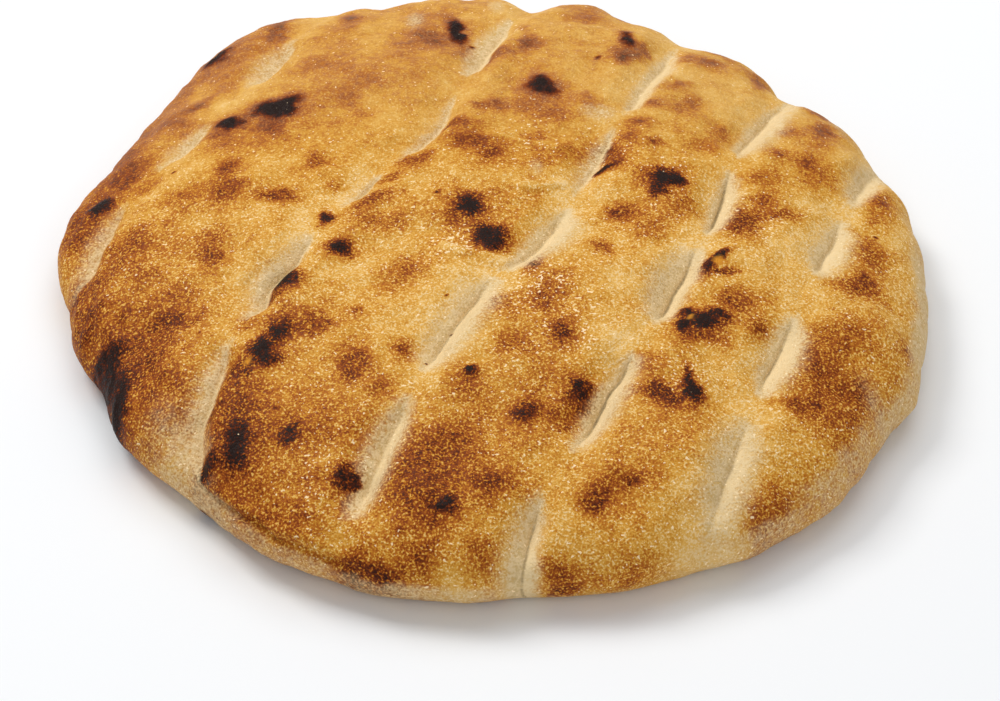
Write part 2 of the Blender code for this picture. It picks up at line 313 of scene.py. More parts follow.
# How brown the crust is: 0 raw dough, 0.4 golden, 0.75 brown, 1 charred
bake = {
    "base": 0.40,
    "drift": ((38, 0.05), (15, 0.06), (7, 0.06)),  # size and strength of its slow changes
    "valleyPaler": 0.15,
    "valleyReach": 11,
    # how much paler the highlight painted along the wrinkles' tops makes the crust
    "wrinkleHighlight": 0.16,
    "brownness": 0.85,      # how much of a brown mark's browning shows
    "markSpread": 1.12,
    "brownSpread": 1.15,    # a brown mark fades out softly
    "scorchEdge": 3.2,      # how sharply a scorched one ends
    "scorchFrom": 0.8,      # marks browner than this are scorched, and charred
    "charFrom": 0.9,
    "halo": 0.66,           # how brown the crust is round a scorched mark, and how far that reaches
    "haloReach": 1.50,
    "soot": 0.08,           # the blackest marks stay black under the grain
    "mostLighter": 0.05,    # how far a mark may lighten a browner crust
    "highest": 1.25,
    "warp": ((9, 0.8), (4, 0.9), (1.8, 0.6)),     # patch size and reach of the marks' ragged edges
    # Broad tones: x, y, radius, change
    "tones": (
        (-95, 75, 34, 0.16), (-50, 68, 14, 0.08), (-70, 98, 24, 0.12), (-112, 25, 22, 0.18),
        (-100, -35, 30, 0.11), (-66, -76, 26, 0.08), (-30, -95, 38, 0.08), (10, -95, 32, 0.06),
        (40, -95, 24, 0.05), (92, -52, 24, 0.06), (-30, -28, 24, -0.06), (5, -20, 26, -0.04),
        (70, 60, 26, -0.03), (-80, -5, 22, -0.03), (70, -82, 20, -0.05), (95, 40, 24, -0.03),
        (-25, 75, 30, 0.03), (-30, -90, 30, 0.03), (18, -62, 12, 0.05), (32, -60, 20, 0.04),
        (-100, -50, 14, 0.10), (90, -58, 13, -0.06), (-96, -36, 12, 0.05), (-60, 20, 26, -0.02),
        (34, -30, 20, -0.03), (112, 5, 16, -0.06), (112, -25, 14, -0.06), (60, -105, 18, -0.03),
        (30, -48, 8, -0.14), (75, -92, 8, -0.10), (24, -104, 7, -0.12), (31, 60, 5, -0.12),
        (36, -26, 6, -0.12), (-84, 68, 6, -0.08), (-40, 12, 5, -0.10), (-9, -112, 13, -0.14),
        (62, -108, 12, -0.10),
    ),
    # Marks: x, y, half length, half width, lean in degrees, how brown
    "marks": (
        (-63, 103, 2.5, 9, 0, 0.82), (-76, 90, 5, 9, 0, 0.68), (-41, 105, 2.5, 8, 0, 0.80),
        (-79.5, 92, 4, 3, 41, 0.96), (-21, 101, 2.5, 4, 0, 0.74), (-9.5, 92, 2.4, 8, 12, 1.00),
        (-17, 88, 5, 4.5, 0, 0.82), (-23, 84, 3, 3, 0, 0.66), (-48, 75, 4, 3, 0, 0.72),
        (-54, 74, 3, 3, 0, 0.62), (-42, 70, 2.5, 4, 0, 0.68), (-33, 65, 3, 4.5, 0, 0.62),
        (-25, 74, 3, 3, 0, 0.62), (-88, 74, 2, 4, 0, 0.68), (-84, 63, 5, 2.5, 35, 0.80),
        (-94, 56, 5.5, 3, 0, 0.80), (-88, 55, 3, 3, 0, 0.70), (-104, 43, 4, 9, -20, 0.80),
        (-103, 34, 4, 6, -20, 0.84), (-109, 22, 3.6, 3.6, 0, 0.98), (-114, 15, 4, 8, 0, 0.86),
        (-73, 49, 3.2, 3, 0, 1.00), (-76, 45, 4, 2, 40, 0.78), (-61, 52.5, 5.5, 3.8, 0, 1.00),
        (-57, 49.5, 2.5, 2.5, 0, 0.98), (-56, 54, 3, 2.6, 0, 0.96), (-61, 44, 4, 4.5, 0, 0.85),
        (-74, 38, 5, 4, 0, 0.68), (-72, 24, 3, 3.6, 0, 0.82), (-48, 25.5, 3, 3, 0, 0.74),
        (-72, 14, 4, 4, 0, 0.82), (-84, 15, 5, 3.5, 0, 0.74), (-96, 27, 4, 3, 0, 0.66),
        (-59, 10.5, 4, 2.6, 0, 0.88), (-40, 54, 2.5, 3.5, 0, 0.64), (-35, 47, 3, 3, 0, 0.60),
        (-44, 15, 3, 3, 0, 0.60), (0, 50, 5, 2.6, 30, 0.80), (-9, 40, 4, 2, 0, 0.88),
        (-5, 32, 5, 4, 0, 0.82), (1, 26, 4, 4, 0, 0.78), (-20, 24, 4, 2.5, 30, 0.80),
        (-27, 17, 4.5, 2.2, 30, 0.76), (-32, 6, 6.5, 3.2, 30, 0.78), (-44, 0, 2, 3, 0, 0.97),
        (-5, 3, 4.3, 4.2, 0, 1.00), (-9, -1, 3, 3, 0, 0.82), (0, -8.5, 4.8, 4.8, 0, 1.00),
        (-27, -2, 4, 4, 0, 0.64), (-98, -1, 8, 5, 30, 0.77), (-76, -5, 4.5, 5, 0, 0.74),
        (-73, -12, 3, 4, 0, 0.76), (29, 107, 5, 7, 0, 0.70), (41, 112, 3, 2, 0, 0.82),
        (10, 92, 2, 4, 0, 0.64), (12, 83, 3, 3, 0, 0.84), (3, 77, 5, 3, 0, 0.77),
        (40, 88, 1.8, 5, 5, 0.95), (44, 85, 2.5, 3.5, 0, 0.78), (38, 79, 3, 3.5, 0, 0.84),
        (14, 61.5, 4, 4.2, 0, 1.00), (16.5, 58, 3, 3, 0, 0.95), (13, 53, 5, 4, 0, 0.76),
        (16, 47, 4, 4, 0, 0.72), (54, 65.5, 4, 2, 30, 0.78), (47, 54, 2.5, 3, 0, 0.70),
        (57, 56, 5.5, 3.5, 60, 0.72), (55, 51, 3, 3, 0, 0.68), (28, 55, 2.5, 3.5, 0, 0.66),
        (64, 84, 5, 3.5, 0, 0.80), (60, 86, 4, 4, 0, 0.68), (66, 94, 5, 1.5, -35, 0.80),
        (78, 80, 2.5, 5, 0, 0.80), (94, 64, 5, 2, -45, 0.78), (94, 51.5, 3, 4, 0, 0.82),
        (85, 49, 3, 3, 0, 0.68), (93, 44, 3, 4, 0, 0.64), (65, 44, 3.5, 3.5, 0, 0.74),
        (41, 42, 3, 2.5, 0, 0.80), (39, 35, 3.5, 3.5, 0, 0.68), (46, 33, 2.4, 2, 0, 0.80),
        (61, 35, 4, 4, 0, 0.64), (80, 35, 3, 3, 0, 0.68), (88.5, 32, 2.5, 3, 0, 0.82),
        (93, 27, 6, 5, 0, 0.66), (13, 34, 2.5, 3, 0, 0.66), (15, 25, 4, 4, 0, 0.62),
        (22, 30, 3.5, 3.5, 0, 0.68), (33, 30, 3, 2.6, 0, 0.86), (35, 25, 3, 4, 0, 0.80),
        (31.5, 22, 3.5, 1.2, 25, 1.00), (48, 17.5, 4.2, 3.6, 0, 1.00), (52, 17, 2, 2.5, 0, 0.98),
        (47, 12, 2.2, 3.5, 0, 0.92), (43, 17, 3, 3, 0, 0.80), (52, 6, 4, 5, 0, 0.68),
        (75, 22, 5, 4, 0, 0.66), (75, 12, 3, 3, 0, 0.72), (109, 23, 3, 6, 0, 0.76),
        (107, 14, 3, 3, 0, 0.66), (70, 3, 6, 3.5, 50, 0.82), (81, 6, 5, 2.5, 25, 0.78),
        (69, 0, 3, 3, 0, 0.84), (37, 2, 4, 3.5, 0, 0.82), (104, 2, 3, 4, 0, 0.68), (12, 8, 3, 4, 0, 0.62),
        (3, 9, 3, 3, 0, 0.62), (-106, -9, 5, 4, 0, 0.74), (-112, -13, 3, 7, 0, 0.82),
        (-108, -22, 3.5, 7, 0, 0.86), (-98.5, -26, 2.5, 4, 0, 0.80), (-94, -15, 4, 4, 0, 0.68),
        (-85, -31, 6, 4.5, 0, 0.82), (-86, -25, 4, 4, 0, 0.70), (-95, -44, 10, 13, 20, 0.82),
        (-103, -36, 4.5, 4, 0, 0.97), (-100, -43, 3.2, 5.5, 15, 1.00), (-97, -53, 2.8, 6.5, 10, 1.00),
        (-92, -44, 4, 3.5, 0, 0.86), (-97, -60, 3, 3, 0, 0.80), (-89, -50, 5, 7, 0, 0.68),
        (-85, -57, 4, 4.5, 0, 0.74), (-83, -65, 5, 4, 0, 0.66), (-64, -37, 3, 3, 0, 0.66),
        (-40, -12, 3.5, 3.5, 0, 1.00), (-33, -2, 4, 3, 0, 0.66), (-54, -24.5, 4, 4, 0, 0.97),
        (-56, -29, 3, 2, 0, 0.85), (-22, -21, 4, 3.5, 0, 0.76), (-26, -28, 3.5, 3.5, 0, 0.66),
        (-47, -41, 4.5, 3, 0, 0.84), (-55, -42, 3, 4, 0, 0.93), (-60, -48, 3.8, 2.8, 30, 1.00),
        (-66, -54.5, 4, 3, 30, 0.90), (-58, -51.5, 4, 2.4, 0, 0.94), (-53, -37, 3, 3, 0, 0.78),
        (-35, -37, 2.5, 2.5, 0, 0.70), (-35, -55, 3.6, 4.8, 0, 0.85), (-22, -51, 3.5, 3.5, 0, 0.74),
        (-28, -65, 3.5, 3.5, 0, 0.74), (-5.5, -60, 2, 1.6, 0, 0.98), (-6, -64, 4.5, 4, 0, 0.77),
        (-67, -67, 6, 8, 0, 0.84), (-60, -66, 4, 5, 0, 0.74), (-65, -72.5, 4.5, 5, 0, 0.88),
        (-64, -77.5, 3.4, 5.6, 0, 1.00), (-72, -80, 4.4, 3.4, 30, 0.91), (-51.5, -76.5, 2.6, 3, 0, 0.93),
        (-56, -73, 4.5, 3, 0, 0.80), (-70, -86, 5, 3, 0, 0.76), (-63, -89, 5, 5, 0, 0.74),
        (-68, -83, 4, 3, 0, 0.80), (-54, -98, 7, 3.5, -20, 0.75), (-37, -90, 3.4, 3.6, 0, 0.92),
        (-36, -96, 1.5, 2.5, 0, 0.84), (-31, -92, 1.5, 2, 0, 0.80), (-14, -89, 8.5, 8.5, 0, 0.83),
        (-18, -94, 5, 6, 0, 0.84), (-8, -81, 4, 4, 0, 0.80), (-10.5, -100.5, 3.2, 2.2, 0, 0.96),
        (-16, -105, 4.5, 3, 0, 0.80), (0, -94, 5, 2.8, 0, 0.86), (-33, -112, 6, 2.4, -15, 0.86),
        (-27, -114.5, 5, 1.8, -10, 0.88), (-17, -112, 4, 2.5, 0, 0.80), (-2, -111, 4, 2.5, 0, 0.78),
        (12, -17, 1.5, 3.5, 0, 0.86), (12, -21, 1.3, 1.3, 0, 0.90), (30, -12.5, 2.2, 3.5, 0, 0.80),
        (44, -5, 4, 4, 0, 0.66), (16, -29, 5, 5, 0, 0.72), (14, -36, 5, 4, 0, 0.74),
        (3, -36, 4, 4, 0, 0.66), (20, -46, 3.5, 3.5, 0, 0.84), (6, -50, 4, 4, 0, 0.70),
        (23.5, -64.5, 3, 3.6, 0, 0.94), (24, -68, 3.5, 3, 0, 0.86), (9.5, -72.5, 3, 3, 0, 0.92),
        (19, -74, 5, 4, 0, 0.74), (41, -55, 3, 3, 0, 0.68), (43, -65, 3.5, 2.6, 0, 0.88),
        (46, -67.5, 3.5, 2.5, 0, 0.86), (52.5, -64, 2.2, 4.5, 0, 1.00), (52, -58, 0.9, 2.5, 0, 0.97),
        (57, -39.5, 4.4, 3.2, 0, 1.00), (52.5, -36.5, 2.2, 1.6, 0, 1.00), (52, -42, 2, 3, 0, 0.98),
        (62, -37, 2.5, 1.6, 0, 0.95), (56, -45, 4, 2, 0, 0.84), (66, -31, 4, 3.5, 0, 0.84),
        (72, -39, 3.5, 3.5, 0, 0.72), (62, -13.5, 3.2, 1.2, 50, 0.97), (58.8, -18, 1.3, 2.8, -25, 0.95),
        (63, -20, 2.6, 1, 15, 0.88), (56, -20, 3, 3, 0, 0.72), (105, -3, 4, 5, 0, 0.74),
        (102, -14.5, 3, 4, 0, 0.86), (96, -18.5, 4.5, 3.5, 0, 0.78), (98, -36, 5, 5, 0, 0.72),
        (91, -41, 5, 5, 0, 0.72), (112, -35, 2, 3, 0, 0.74), (87, -49, 4, 5, 0, 0.80),
        (89, -56, 7, 5, 0, 0.78), (97, -54.5, 3, 3.5, 0, 0.82), (82.5, -63, 4, 2.8, 0, 0.86),
        (90, -62, 5, 4, 0, 0.74), (92, -70, 4, 4, 0, 0.66), (35.5, -92, 4.5, 2.4, 25, 0.84),
        (28, -97, 3, 5, -30, 0.86), (20, -114, 3.5, 2.2, 0, 0.82), (74, -93, 6, 4.5, 25, 0.72),
        (70, -98, 4.5, 5, 0, 0.68), (41, -114, 8, 2.5, 10, 0.68),
    ),
    # Soot specks: x, y, radius
    "specks": (
        (-88, 29, 0.6), (-14, 8.5, 0.7), (107, 6.4, 0.7), (-77, -38.5, 0.7), (-11, -31, 0.6),
        (-9.7, -43.3, 0.6), (-55, -68.4, 0.5), (13, -32, 0.6), (-5, 85, 0.7), (31, 77, 0.6),
        (-16.5, -55, 0.6), (52.5, 69.5, 0.5),
    ),
    "speckEdge": (0.6, 1.3),
    "orangeFlecks": ((61.5, -16.7, 1.5), (-62.8, -52.4, 1.1), (53.5, -38, 0.8)),
    "fleckEdge": (0.6, 1.2),
    "smootherChar": 0.6,    # the grain is finer on charred crust, and how brown that is
    "charRange": (0.85, 1.05),
    "smootherBack": 0.72,   # and toward the back
    "backFrom": (-5, 65),
    "flourAndGlints": 0.35,
    "flourAndGlintsGone": (0.55, 0.80),  # how brown a crust is that shows no flour and no painted glints
    # Where pale grains of flour and painted glints lie thickest: x, y, radius, share
    "flourAndGlintSpots": (
        (-9, -12, 7, 0.9), (13, -29, 9, 0.9), (15, 50, 8, 0.9), (50, 20, 6, 0.8), (52, -59, 7, 0.7),
        (72, 4, 8, 0.8), (35, 28, 7, 0.7), (-5, 31, 8, 0.7), (12, 33, 8, 0.6), (24, -45, 10, 0.6),
        (-40, -90, 12, 0.4),
    ),
}


def markDistance(x, y, spotX, spotY, halfLength, halfWidth, lean):
    turn = math.radians(lean)
    across = (x - spotX) * math.cos(turn) + (y - spotY) * math.sin(turn)
    up = (y - spotY) * math.cos(turn) - (x - spotX) * math.sin(turn)
    return np.hypot(across / halfLength, up / halfWidth)


def warped(x, y):
    # the same places, shifted a little so that marks get ragged outlines
    shiftX = shiftY = 0.0
    for k, (size, reach) in enumerate(bake["warp"]):
        shiftX = shiftX + reach * patchNoise(x, y, size, seeds["warpX"] + k)
        shiftY = shiftY + reach * patchNoise(x, y, size, seeds["warpY"] + k)
    return x + shiftX, y + shiftY


def unmarkedBake(x, y):
    level = np.full_like(x, bake["base"])
    for k, (size, strength) in enumerate(bake["drift"]):
        level = level + strength * patchNoise(x, y, size, seeds["drift"] + k)
    return level


def tonedBake(x, y, across, along):
    level = unmarkedBake(x, y)
    for toneX, toneY, radius, change in bake["tones"]:
        level = level + change * bell(np.hypot(x - toneX, y - toneY), radius)
    for row in rows:
        level = level - bake["valleyPaler"] * bell(across - rowAcross(row, along), bake["valleyReach"])
    return level


def bakeLevels(x, y, across, along):
    # how brown each place is, and where it is charred
    level = tonedBake(x, y, across, along)
    warpX, warpY = warped(x, y)
    char = np.zeros_like(x)
    for *shape, brown in bake["marks"]:
        away = markDistance(warpX, warpY, *shape) / bake["markSpread"]
        charred = brown > bake["charFrom"]
        if brown > bake["scorchFrom"]:
            halo = bell(away, bake["haloReach"])
            level = level + np.clip(bake["halo"] - level, 0.0, 1.0) * halo
            core = np.exp(-away ** bake["scorchEdge"])
        else:
            core = bell(away, bake["brownSpread"])
        if charred:
            brown = brown + bake["soot"]
            char = np.maximum(char, core)
        else:
            brown = bake["base"] + bake["brownness"] * (brown - bake["base"])
        level = level + np.clip(brown - level, -bake["mostLighter"], 1.0) * core
    for spotX, spotY, radius in bake["specks"]:
        away = np.hypot(x - spotX, y - spotY) / radius
        level = level + (1.0 - level) * (1.0 - ramp(away, *bake["speckEdge"]))
    return np.clip(level, 0.0, bake["highest"]), char


def fleckLevels(x, y):
    fleck = np.zeros_like(x)
    for spotX, spotY, radius in bake["orangeFlecks"]:
        away = np.hypot(x - spotX, y - spotY) / radius
        fleck = np.maximum(fleck, 1.0 - ramp(away, *bake["fleckEdge"]))
    return fleck


def flourAndGlintLevels(x, y, brown):
    flourAndGlints = bake["flourAndGlints"] - (bake["flourAndGlints"] + 1.0) * ramp(brown, *bake["flourAndGlintsGone"])
    for spotX, spotY, radius, strength in bake["flourAndGlintSpots"]:
        flourAndGlints = flourAndGlints + strength * bell(np.hypot(x - spotX, y - spotY), radius)
    return flourAndGlints


def grainLevels(y, brown):
    fromBack = 1.0 - bake["smootherBack"] * ramp(y, *bake["backFrom"])
    return fromBack * (1.0 - bake["smootherChar"] * ramp(brown, *bake["charRange"]))


# Unbrowned dough, in the slashes and beyond them
dough = {
    "raggedness": ((2.6, 0.6), (1.1, 0.4)),     # size and strength of the dough's uneven border
    "endWander": 2.5,       # how far that border wanders at a slash's ends and sides, in millimetres
    "sideWander": 0.6,
    "floorEnds": 0.35,      # how wide a slash's pale floor and wall still are at its ends
    "wallEnds": 0.30,
    "floorFade": 1.6,       # how sharply the pale floor, the wall and both ends fade out
    "wallFade": 1.9,
    "endFade": 0.7,
    "wallFrom": (-0.5, 0.8),    # where the wall, its dough painted lighter as if lit, starts, in millimetres beside the foot
    # Where the side is pale: direction, half width in degrees, up to which height, how pale
    "bands": (
        (228, 9, 16, 0.42), (243, 10, 12, 0.34), (262, 12, 13, 0.44), (283, 12, 6, 0.30), (304, 11, 17, 0.34),
        (320, 9, 20, 0.34), (337, 12, 18, 0.44), (352, 14, 20, 0.54), (8, 12, 14, 0.44),
    ),
    "bandSoft": 4.0,
    "bandWander": 1.5,
    "bandFullness": 1.4,
    # Patches: x, y, half length, half width, lean, strength
    "patches": (
        (104, -58, 4, 9, 30, 0.35), (-79, -74, 6, 10, 15, 0.50), (-84, -80, 5, 10, 30, 0.45),
        (-84, -66, 6, 8, 20, 0.30), (-22, 100, 3, 6, 0, 0.45), (2, 111, 3, 7, 0, 0.40),
        (31, 47, 5, 4, 0, 0.45), (100, 60, 3, 8, 20, 0.35), (13, 20, 2, 4, 0, 0.35),
    ),
    "patchWander": 0.2,
    "patchSpread": 1.2,
    "paleTowardBack": 0.17,       # the crust toward the back is a little paler and greyer
    "covered": (0.72, 0.95),    # a browner crust than this shows no pale dough
}


def slashDough(x, y, across, along, edge):
    pale, wall, footShade = np.zeros_like(x), np.zeros_like(x), np.zeros_like(x)
    for row in rows:
        off = awayFromRow(row, x, y, across, along)
        onFloor = off < 0.0
        fading = np.where(onFloor, dough["floorFade"], dough["wallFade"])
        for start, end, depth, floorPale, wallPale, strength, footDepthAndShade in row["slashes"]:
            t = (along + dough["endWander"] * edge - (start + end) / 2) / ((end - start) / 2)
            lens = np.sqrt(np.clip(1.0 - t * t, 0.0, 1.0))
            floorWidth = floorPale * (dough["floorEnds"] + (1.0 - dough["floorEnds"]) * lens)
            wallWidth = wallPale * (dough["wallEnds"] + (1.0 - dough["wallEnds"]) * lens)
            spread = np.where(onFloor, floorWidth, wallWidth)
            away = np.abs(off + dough["sideWander"] * edge) / spread
            here = strength * lens ** dough["endFade"] * np.exp(-away ** fading)
            pale = np.maximum(pale, here)
            wall = np.maximum(wall, here * ramp(off, *dough["wallFrom"]))
            # shade painted in each slash's crease, at its foot
            footShade = np.maximum(footShade, footDepthAndShade * lens * bell(off, loaf["creaseWidth"]))
    return pale, wall, footShade


def doughLevels(x, y, up, degrees, across, along):
    # how doughy the surface is, how much of that is the wall, whose dough is painted lighter as if lit, and
    # the shade painted at the foot of each slash
    edge = sum(strength * patchNoise(x, y, size, seeds["doughEdge"] + k)
               for k, (size, strength) in enumerate(dough["raggedness"]))
    pale, wall, footShade = slashDough(x, y, across, along, edge)
    for direction, halfWidth, top, strength in dough["bands"]:
        around = bell(turnsApart(degrees, direction), halfWidth)
        low = 1.0 - ramp(up + dough["bandWander"] * edge, top - dough["bandSoft"], top)
        pale = np.maximum(pale, strength * low * np.minimum(1.0, dough["bandFullness"] * around))
    for *shape, strength in dough["patches"]:
        away = markDistance(x, y, *shape) * (1.0 + dough["patchWander"] * edge)
        pale = np.maximum(pale, strength * bell(away, dough["patchSpread"]))
    return pale, wall, footShade


# The loaf's mesh: a grid whose columns follow the slashes, then rings down the side and under it
grid = {
    "columns": 280,
    "rows": 250,
    "crowding": 0.55,       # how closely the columns stand near a slash's foot
    "room": 0.45,           # how far a column may stray from its row's mean
    "cornerReach": 0.05,    # how far the grid's corners are drawn out, and how tightly
    "cornerPower": 8,
    "sideRings": 12,
    "sideReach": 0.12,
    "underRings": 7,        # rings of the flat underside
    "underReach": 0.96,     # and how near they come to its middle
    "slopeStep": 0.0005,    # how far apart the surface's slope is measured
    "underFrom": 1.0,       # where the underside's even crust starts, in radians round the side
}


def crustValues(x, y, up, degrees, across, along, below, opening, underneath):
    brown, char = bakeLevels(x, y, across, along)
    pale, wall, crease = doughLevels(x, y, up, degrees, across, along)
    # shade painted in the fold's groove, joined to the slashes' painted foot shade
    footShadeStrength, footShadeWidth = seam["footShade"]
    crease = np.maximum(crease, footShadeStrength * opening * bell(below, footShadeWidth))
    pale = np.maximum(pale, seam["pale"] * opening * ramp(below, *seam["paleFrom"]))
    pale = np.maximum(pale, dough["paleTowardBack"] * ramp(y, *bake["backFrom"]))
    pale = pale * (1.0 - ramp(brown, *dough["covered"]))
    brown = brown + underneath * (unmarkedBake(x, y) - brown)
    pale, crease = pale * (1.0 - underneath), crease * (1.0 - underneath)
    return {"bake": brown, "pale": pale, "wall": wall, "crease": crease}, char


def loafSurface(disc):
    # the flat disc's points as millimetre places on the loaf, with the crust's values for each
    reach = np.hypot(disc[:, 0], disc[:, 1])
    direction = np.arctan2(disc[:, 1], disc[:, 0]) + math.radians(loaf["alongDegrees"] - 90.0)
    degrees = np.degrees(direction) % 360.0
    radius = outlineRadius(degrees)
    share = np.interp(np.minimum(reach, 1.0), reachTable, shareTable)
    turn = np.clip((reach - 1.0) / grid["sideReach"], 0.0, 1.0) * math.pi / 2
    onCrown = reach <= 1.0
    inward = np.clip(reach - 1.0 - grid["sideReach"], 0.0, 1.0)
    side = (radius - loaf["undercut"] * (1.0 - np.cos(turn))) * (1.0 - inward)
    out = np.where(onCrown, radius * share, side)
    up = np.where(onCrown, crownHeight(share), loaf["rimLevel"] * (1.0 - np.sin(turn)))

    # the way the surface slopes there, which its relief stands out from
    inner = np.interp(np.clip(reach - grid["slopeStep"], 0.0, 1.0), reachTable, shareTable)
    outer = np.interp(np.clip(reach + grid["slopeStep"], 0.0, 1.0), reachTable, shareTable)
    run = np.where(reach < 1.0, radius * (outer - inner), -loaf["undercut"] * np.sin(turn))
    drop = np.where(reach < 1.0, crownHeight(inner) - crownHeight(outer), loaf["rimLevel"] * np.cos(turn))
    size = np.maximum(np.hypot(run, drop), 1e-9)

    x = out * np.cos(direction) - loaf["markMiddle"][0]
    y = out * np.sin(direction) - loaf["markMiddle"][1]
    along, across = alongAndAcross(x, y)
    below, opening = seamPlace(x, y, degrees, (reach - 1.0) * crownLength)
    underneath = ramp(turn, grid["underFrom"], math.pi / 2)
    values, char = crustValues(x, y, up, degrees, across, along, below, opening, underneath)
    wrinkles, wrinkleHighlights = wrinkleRelief(x, y)
    # highlight painted along the wrinkles' tops
    brown = values["bake"] - bake["wrinkleHighlight"] * wrinkleHighlights
    values["bake"] = brown
    values["fleck"] = fleckLevels(x, y)
    values["flourAndGlints"] = flourAndGlintLevels(x, y, brown)
    values["grainy"] = grainLevels(y, brown)

    relief = swellRelief(across, along) + wrinkles
    for row in rows:
        relief = relief + rowRelief(row, awayFromRow(row, x, y, across, along), along, reach)
    relief = relief + seamRelief(x, y, below, opening)
    lean = loaf["unevenLean"] * up
    for k, (bump, height) in enumerate(loaf["unevenness"]):
        relief = relief + height * patchNoise(x + lean, y - lean, bump, seeds["uneven"] + k)
    relief = relief + loaf["blister"] * char
    relief = relief * (1.0 - ramp(reach, *loaf["reliefEnd"]))
    out = out + relief * drop / size
    up = up + relief * run / size
    return np.stack([out * np.cos(direction), out * np.sin(direction), up], axis=1), values


def squareToDisc(u, v):
    return u * np.sqrt(1.0 - v * v / 2), v * np.sqrt(1.0 - u * u / 2)


def discToSquare(p, q):
    base, twist = 2 + p * p - q * q, 2 * math.sqrt(2) * p
    u = (np.sqrt(np.clip(base + twist, 0, None)) - np.sqrt(np.clip(base - twist, 0, None))) / 2
    base, twist = 2 - p * p + q * q, 2 * math.sqrt(2) * q
    v = (np.sqrt(np.clip(base + twist, 0, None)) - np.sqrt(np.clip(base - twist, 0, None))) / 2
    return u, v


def creaseColumns(v, samples=160):
    # where each row's crease passes in the square grid, at each height v
    found = []
    middleAlong, middleAcross = alongAndAcross(*loaf["markMiddle"])
    along = np.linspace(-loaf["baseRadius"], loaf["baseRadius"], samples)
    for row in rows:
        across = rowAcross(row, along) + middleAcross
        direction = np.arctan2(along + middleAlong, across)
        radius = outlineRadius(np.degrees(direction) + loaf["alongDegrees"] - 90.0)
        share = np.hypot(along + middleAlong, across) / radius
        reach = np.interp(share, shareTable, reachTable)
        creaseU, creaseV = discToSquare(reach * np.cos(direction), reach * np.sin(direction))
        inside = share < 1.0
        crease = np.interp(v, creaseV[inside], creaseU[inside])
        room = grid["room"] * (1.0 - abs(crease.mean()))
        found.append(np.clip(crease, crease.mean() - room, crease.mean() + room))
    return np.array(found)


def followCreases(u, v):
    # the grid's columns run along the creases and crowd up there
    creases = creaseColumns(v)
    even = np.round(creases.mean(axis=1) * grid["columns"] / 2) * 2 / grid["columns"]
    knots = np.concatenate([[-1.0], even, [1.0]])
    places = np.vstack([-np.ones_like(v), creases, np.ones_like(v)])
    k = np.clip(np.searchsorted(knots, u + 1e-9) - 1, 0, len(knots) - 2)
    t = (u - knots[k]) / (knots[k + 1] - knots[k])
    t = t - grid["crowding"] * np.sin(2 * math.pi * t) / (2 * math.pi)
    each = np.arange(len(u))
    return places[k, each] * (1 - t) + places[k + 1, each] * t


def nextRing(bm, border):
    # one more ring of faces round the disc: its open edges and its new points
    made = bmesh.ops.extrude_edge_only(bm, edges=border)["geom"]
    border = [item for item in made if isinstance(item, bmesh.types.BMEdge) and item.is_boundary]
    return border, [item for item in made if isinstance(item, bmesh.types.BMVert)]


def facePlace(face):
    # one number per face, which puts the faces in the same order every run
    corners = [vert.index for vert in face.verts]
    return 1e6 * max(corners) + sum(corners)


def makeLoafMesh():
    bm = bmesh.new()
    bmesh.ops.create_grid(bm, x_segments=grid["columns"], y_segments=grid["rows"], size=1.0)
    square = np.array([v.co[:2] for v in bm.verts])
    u = followCreases(square[:, 0], square[:, 1])
    p, q = squareToDisc(u, square[:, 1])
    stretch = 1.0 + grid["cornerReach"] * (u * square[:, 1]) ** grid["cornerPower"]
    for vert, x, y in zip(bm.verts, p * stretch, q * stretch):
        vert.co = (x, y, 0.0)
    border = [edge for edge in bm.edges if edge.is_boundary]
    for ring in range(grid["sideRings"]):
        border, points = nextRing(bm, border)
        for vert in points:
            reach = vert.co.length
            vert.co *= 1.0 + (1.0 + grid["sideReach"] - reach) / (grid["sideRings"] - ring) / reach
    for ring in range(grid["underRings"]):
        border, points = nextRing(bm, border)
        for vert in points:
            vert.co *= 1.0 + grid["underReach"] / grid["underRings"] / vert.co.length
    bmesh.ops.contextual_create(bm, geom=border)
    bmesh.ops.recalc_face_normals(bm, faces=bm.faces)
    bm.verts.index_update()
    bm.faces.sort(key=facePlace)
    mesh = bpy.data.meshes.new("pitaLoaf")
    bm.to_mesh(mesh)
    bm.free()
    return mesh


def readPoints(mesh):
    points = np.empty(len(mesh.vertices) * 3, np.float32)
    mesh.vertices.foreach_get("co", points)
    return points.reshape(-1, 3).astype(float)


def setPlaces(mesh, places, values):
    # stands the loaf where the solid stands, and keeps its crust values as attributes
    low, high = (np.array(corner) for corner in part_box(breadNode))
    places = places * mm
    middle = (places.min(axis=0) + places.max(axis=0)) / 2
    places[:, :2] += ((low + high) / 2 - middle)[:2]
    places[:, 2] += low[2] - places[:, 2].min()
    mesh.vertices.foreach_set("co", places.ravel().astype(np.float32))
    for name, value in values.items():
        layer = mesh.attributes.new(name, "FLOAT", "POINT")
        layer.data.foreach_set("value", value.astype(np.float32))
    mesh.update()
    mesh.shade_smooth()


